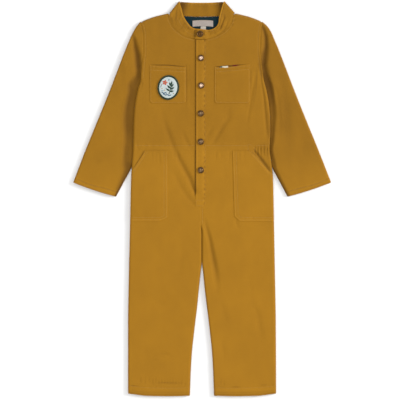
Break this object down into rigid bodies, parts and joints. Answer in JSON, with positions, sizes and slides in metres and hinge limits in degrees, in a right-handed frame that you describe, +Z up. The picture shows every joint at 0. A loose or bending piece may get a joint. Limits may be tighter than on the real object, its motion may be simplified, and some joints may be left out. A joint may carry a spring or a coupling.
{
  "type": "jumpsuit",
  "caption": "Child's corduroy jumpsuit laid flat: stand collar, snap placket, long sleeves, straight legs, patch pockets and an oval badge.",
  "frame": {"origin": "on the surface that the garment lies on, under the middle of its outline", "axes": "+Z up from the surface, out of the front of the garment; +Y from the hems towards the collar; +X towards the wearer's left side"},
  "size_m": [0.6064, 0.9286, 0.012],
  "materials": {
    "corduroy": "fine cord pile",
    "lining": "plain woven cotton",
    "label": "woven satin",
    "tab": "woven satin",
    "lining_print": "plain woven cotton",
    "badge": "embroidered",
    "metal": "satin"
  },
  "bodies": {
    "root": {"back_bodice": "corduroy", "back_leg_right": "corduroy", "back_leg_left": "corduroy", "front_bodice_right": "corduroy", "front_bodice_left": "corduroy", "front_leg_right": "corduroy", "front_leg_left": "corduroy", "sleeve_right": "corduroy", "sleeve_left": "corduroy", "collar": "corduroy", "placket": "corduroy", "chest_pocket_right": "corduroy", "chest_pocket_left": "corduroy", "hip_pocket_right": "corduroy", "hip_pocket_left": "corduroy", "neck_lining": "lining", "neck_label": "label", "size_tab": "tab", "pocket_lining": "lining_print", "badge": "badge", "snap_1": "metal", "snap_2": "metal", "snap_3": "metal", "snap_4": "metal", "snap_5": "metal", "snap_6": "metal"}
  },
  "joints": []
}
